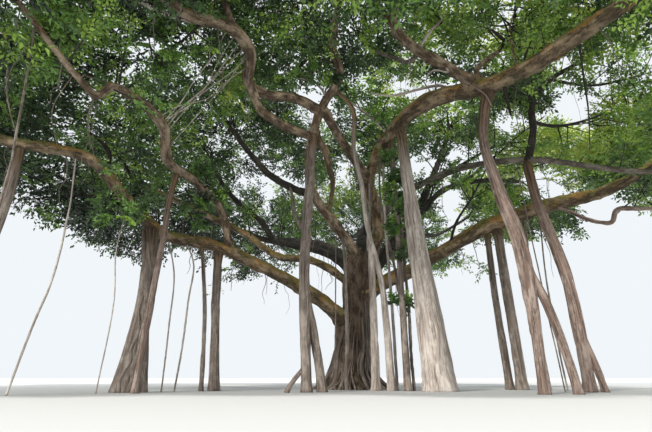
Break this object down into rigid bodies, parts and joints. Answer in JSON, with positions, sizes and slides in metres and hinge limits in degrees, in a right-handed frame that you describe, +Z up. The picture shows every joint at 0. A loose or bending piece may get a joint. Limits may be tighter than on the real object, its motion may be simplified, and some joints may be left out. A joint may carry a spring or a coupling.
{
  "type": "banyan tree",
  "caption": "Spreading banyan tree with a fluted trunk that forks low, crooked boughs, prop roots that stand on the ground, and a wide crown in separate masses of foliage.",
  "frame": {"origin": "middle of the flat cut under the trunk, at ground level", "axes": "+Z up along the trunk, +Y away from the viewer of the picture, +X to the viewer's right"},
  "size_m": [27.4305, 25.5918, 12.761],
  "materials": {
    "bark_trunk": "rough grey-brown bark, streaked down its flutes",
    "bark_bough": "rough brown bark with green and yellow moss on its upper side",
    "bark_prop": "pale grey bark in long upright ridges",
    "leaf": "half-glossy green leaf"
  },
  "bodies": {
    "root": {"trunk": "bark_trunk", "bough_left_low_inner": "bark_bough", "bough_left_low_outer": "bark_bough", "bough_left_arch_inner": "bark_bough", "bough_left_arch_outer": "bark_bough", "bough_left_moss": "bark_bough", "bough_left_back": "bark_bough", "bough_left_rise": "bark_bough", "bough_centre": "bark_bough", "bough_left_far": "bark_bough", "bough_right_high_inner": "bark_bough", "bough_right_high_outer": "bark_bough", "bough_bridge": "bark_bough", "bough_left_high_inner": "bark_bough", "bough_left_high_outer": "bark_bough", "bough_left_brace": "bark_bough", "bough_right_fork": "bark_bough", "bough_right_spur": "bark_bough", "bough_right_mid": "bark_bough", "bough_right_low": "bark_bough", "bough_right_rise": "bark_bough", "bough_right_back": "bark_bough", "bough_rear_left": "bark_bough", "bough_rear_right": "bark_bough", "bough_rear_middle": "bark_bough", "bough_rear_top": "bark_bough", "prop_centre": "bark_prop", "prop_right_pale": "bark_prop", "prop_right_fork": "bark_prop", "prop_right_far": "bark_prop", "prop_pair": "bark_prop", "prop_right_slim_near": "bark_prop", "prop_right_slim_far": "bark_prop", "prop_left_slim": "bark_prop", "prop_left_thin": "bark_prop", "prop_left_thick": "bark_prop", "prop_left_lean": "bark_prop", "prop_left_edge": "bark_prop", "root_hanging_long": "bark_prop", "root_hanging_leafy": "bark_prop", "prop_rear": "bark_prop", "foliage_left_low": "leaf", "foliage_left_arch": "leaf", "foliage_left_high": "leaf", "foliage_left_far": "leaf", "foliage_left_moss": "leaf", "foliage_left_back": "leaf", "foliage_left_rise": "leaf", "foliage_centre": "leaf", "foliage_right_fork": "leaf", "foliage_right_high": "leaf", "foliage_right_spur": "leaf", "foliage_right_mid": "leaf", "foliage_right_low": "leaf", "foliage_right_rise": "leaf", "foliage_right_back": "leaf", "foliage_rear_right": "leaf", "foliage_rear_middle": "leaf", "foliage_rear_left": "leaf", "foliage_rear_top": "leaf"}
  },
  "joints": []
}
